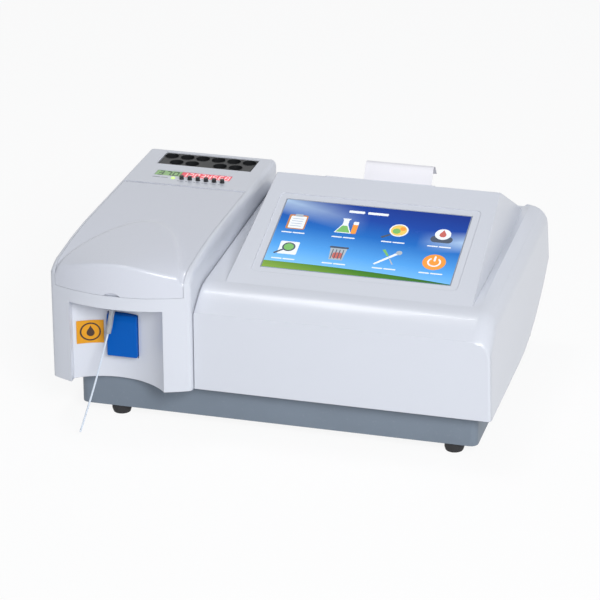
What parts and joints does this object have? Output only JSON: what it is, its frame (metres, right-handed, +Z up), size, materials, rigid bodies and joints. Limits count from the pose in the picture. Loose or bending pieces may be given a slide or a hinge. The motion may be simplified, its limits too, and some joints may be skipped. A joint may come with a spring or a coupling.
{
  "type": "blood chemistry analyzer",
  "caption": "Bench-top blood chemistry analyzer with a sloping touch screen, a flow-cell lid over its pump, incubator wells, a sipper tube and a thermal printer.",
  "frame": {"origin": "middle of the footprint's bounding box, at bench level", "axes": "+X to the right seen from the front, +Y to the rear, +Z up"},
  "size_m": [0.3554, 0.2863, 0.1714],
  "materials": {
    "white_housing": "satin",
    "grey_base": "fine texture",
    "black_rubber": "matt",
    "dark_block": "dark anodised",
    "black_plastic": "matt",
    "blue_key": "satin",
    "amber_sticker": "printed film",
    "green_display": "clear window",
    "red_display": "clear window",
    "green_lamp": "clear lens",
    "screen_glass": "gloss",
    "steel": "bright",
    "aluminium": "machined",
    "clear_tubing": "smooth",
    "orange_silicone": "matt",
    "circuit_board": "solder mask",
    "lamp_glass": "clear",
    "thermal_paper": "paper"
  },
  "bodies": {
    "chassis": {"aspirate_key_pin": "steel", "aspirate_switch": "black_plastic", "base_tray": "grey_base", "caution_label": "amber_sticker", "detector_board": "circuit_board", "display_board": "circuit_board", "fan_frame": "black_plastic", "filter_motor": "steel", "flow_cell": "steel", "flow_cell_holder": "aluminium", "foot_1": "black_rubber", "foot_2": "black_rubber", "foot_3": "black_rubber", "foot_4": "black_rubber", "ground_terminal": "steel", "halogen_lamp": "lamp_glass", "incubator_block": "dark_block", "incubator_heater": "orange_silicone", "lamp_housing": "aluminium", "lid_hinge_pin": "steel", "main_board": "circuit_board", "main_housing": "white_housing", "module_housing": "white_housing", "optics_bench": "aluminium", "power_inlet": "black_plastic", "power_supply": "aluminium", "print_head": "dark_block", "printer_frame": "white_housing", "printer_hinge_pin": "steel", "pump_housing": "dark_block", "pump_motor": "steel", "pump_tube": "orange_silicone", "screen_bracket": "steel", "serial_port": "steel", "sipper_clip": "white_housing", "sipper_tube": "clear_tubing", "status_led": "green_lamp", "temperature_display": "green_display", "timer_display": "red_display", "touch_screen": "screen_glass"},
    "flow_cell_lid": {"flow_cell_lid": "white_housing"},
    "aspirate_key": {"aspirate_key": "blue_key"},
    "key_1": {"key_1": "black_plastic"},
    "key_2": {"key_2": "black_plastic"},
    "key_3": {"key_3": "black_plastic"},
    "key_4": {"key_4": "black_plastic"},
    "key_5": {"key_5": "black_plastic"},
    "key_6": {"key_6": "black_plastic"},
    "feed_button": {"feed_button": "blue_key"},
    "printer_cover": {"printer_cover": "white_housing", "paper_strip": "thermal_paper"},
    "platen_roller": {"platen_roller": "black_rubber"},
    "paper_roll": {"paper_roll": "thermal_paper"},
    "pump_rotor": {"pump_rotor": "aluminium"},
    "pump_roller_1": {"pump_roller_1": "clear_tubing"},
    "pump_roller_2": {"pump_roller_2": "clear_tubing"},
    "pump_roller_3": {"pump_roller_3": "clear_tubing"},
    "filter_wheel": {"filter_wheel": "black_plastic"},
    "fan_rotor": {"fan_rotor": "black_plastic"},
    "power_switch": {"power_switch": "black_plastic"}
  },
  "joints": [
    {"name": "lid_hinge", "type": "hinge", "parent": "chassis", "child": "flow_cell_lid", "pos_m": [-0.1199, 0.0598, 0.1374], "axis": [-1, 0, 0], "range_deg": [0, 85]},
    {"name": "aspirate_key_hinge", "type": "hinge", "parent": "chassis", "child": "aspirate_key", "pos_m": [-0.1212, -0.097, 0.0865], "axis": [1, 0, 0], "range_deg": [0, 4], "stiffness_Nm_per_rad": 0.8, "springref_deg": -2.86},
    {"name": "printer_cover_hinge", "type": "hinge", "parent": "chassis", "child": "printer_cover", "pos_m": [0.06125, 0.10819, 0.13338], "axis": [-1, 0, 0], "range_deg": [0, 90]},
    {"name": "platen_spin", "type": "hinge", "parent": "printer_cover", "child": "platen_roller", "pos_m": [0.06125, 0.06811, 0.14941], "axis": [1, 0, 0], "continuous": true},
    {"name": "paper_roll_spin", "type": "hinge", "parent": "chassis", "child": "paper_roll", "pos_m": [0.06125, 0.0785, 0.12457], "axis": [1, 0, 0], "continuous": true},
    {"name": "feed_button_press", "type": "slide", "parent": "chassis", "child": "feed_button", "axis": [0, -0.4886, -0.8725], "range_m": [0, 0.001], "stiffness_N_per_m": 300, "springref_m": -0.0005},
    {"name": "pump_spin", "type": "hinge", "parent": "chassis", "child": "pump_rotor", "pos_m": [-0.1199, 0.0188, 0.0883], "axis": [0, 0, 1], "continuous": true},
    {"name": "filter_wheel_spin", "type": "hinge", "parent": "chassis", "child": "filter_wheel", "pos_m": [-0.03475, -0.0432, 0.079], "axis": [1, 0, 0], "continuous": true},
    {"name": "fan_spin", "type": "hinge", "parent": "chassis", "child": "fan_rotor", "pos_m": [-0.02175, 0.1215, 0.044], "axis": [0, 1, 0], "continuous": true},
    {"name": "power_switch_rock", "type": "hinge", "parent": "chassis", "child": "power_switch", "pos_m": [0.14225, 0.1345, 0.032], "axis": [-1, 0, 0], "range_deg": [0, 18]},
    {"name": "key_1_press", "type": "slide", "parent": "chassis", "child": "key_1", "axis": [0, 0, -1], "range_m": [0, 0.0008], "stiffness_N_per_m": 300, "springref_m": -0.0005},
    {"name": "key_2_press", "type": "slide", "parent": "chassis", "child": "key_2", "axis": [0, 0, -1], "range_m": [0, 0.0008], "stiffness_N_per_m": 300, "springref_m": -0.0005},
    {"name": "key_3_press", "type": "slide", "parent": "chassis", "child": "key_3", "axis": [0, 0, -1], "range_m": [0, 0.0008], "stiffness_N_per_m": 300, "springref_m": -0.0005},
    {"name": "key_4_press", "type": "slide", "parent": "chassis", "child": "key_4", "axis": [0, 0, -1], "range_m": [0, 0.0008], "stiffness_N_per_m": 300, "springref_m": -0.0005},
    {"name": "key_5_press", "type": "slide", "parent": "chassis", "child": "key_5", "axis": [0, 0, -1], "range_m": [0, 0.0008], "stiffness_N_per_m": 300, "springref_m": -0.0005},
    {"name": "key_6_press", "type": "slide", "parent": "chassis", "child": "key_6", "axis": [0, 0, -1], "range_m": [0, 0.0008], "stiffness_N_per_m": 300, "springref_m": -0.0005},
    {"name": "pump_roller_1_spin", "type": "hinge", "parent": "pump_rotor", "child": "pump_roller_1", "pos_m": [-0.1199, 0.0308, 0.0926], "axis": [0, 0, 1], "continuous": true},
    {"name": "pump_roller_2_spin", "type": "hinge", "parent": "pump_rotor", "child": "pump_roller_2", "pos_m": [-0.13029, 0.0128, 0.0926], "axis": [0, 0, 1], "continuous": true},
    {"name": "pump_roller_3_spin", "type": "hinge", "parent": "pump_rotor", "child": "pump_roller_3", "pos_m": [-0.10951, 0.0128, 0.0926], "axis": [0, 0, 1], "continuous": true}
  ],
  "couplings": [
    {"joint": "pump_roller_1_spin", "follows": "pump_spin", "ratio": -3.727},
    {"joint": "pump_roller_2_spin", "follows": "pump_spin", "ratio": -3.727},
    {"joint": "pump_roller_3_spin", "follows": "pump_spin", "ratio": -3.727},
    {"joint": "platen_spin", "follows": "paper_roll_spin", "ratio": 4.25}
  ]
}
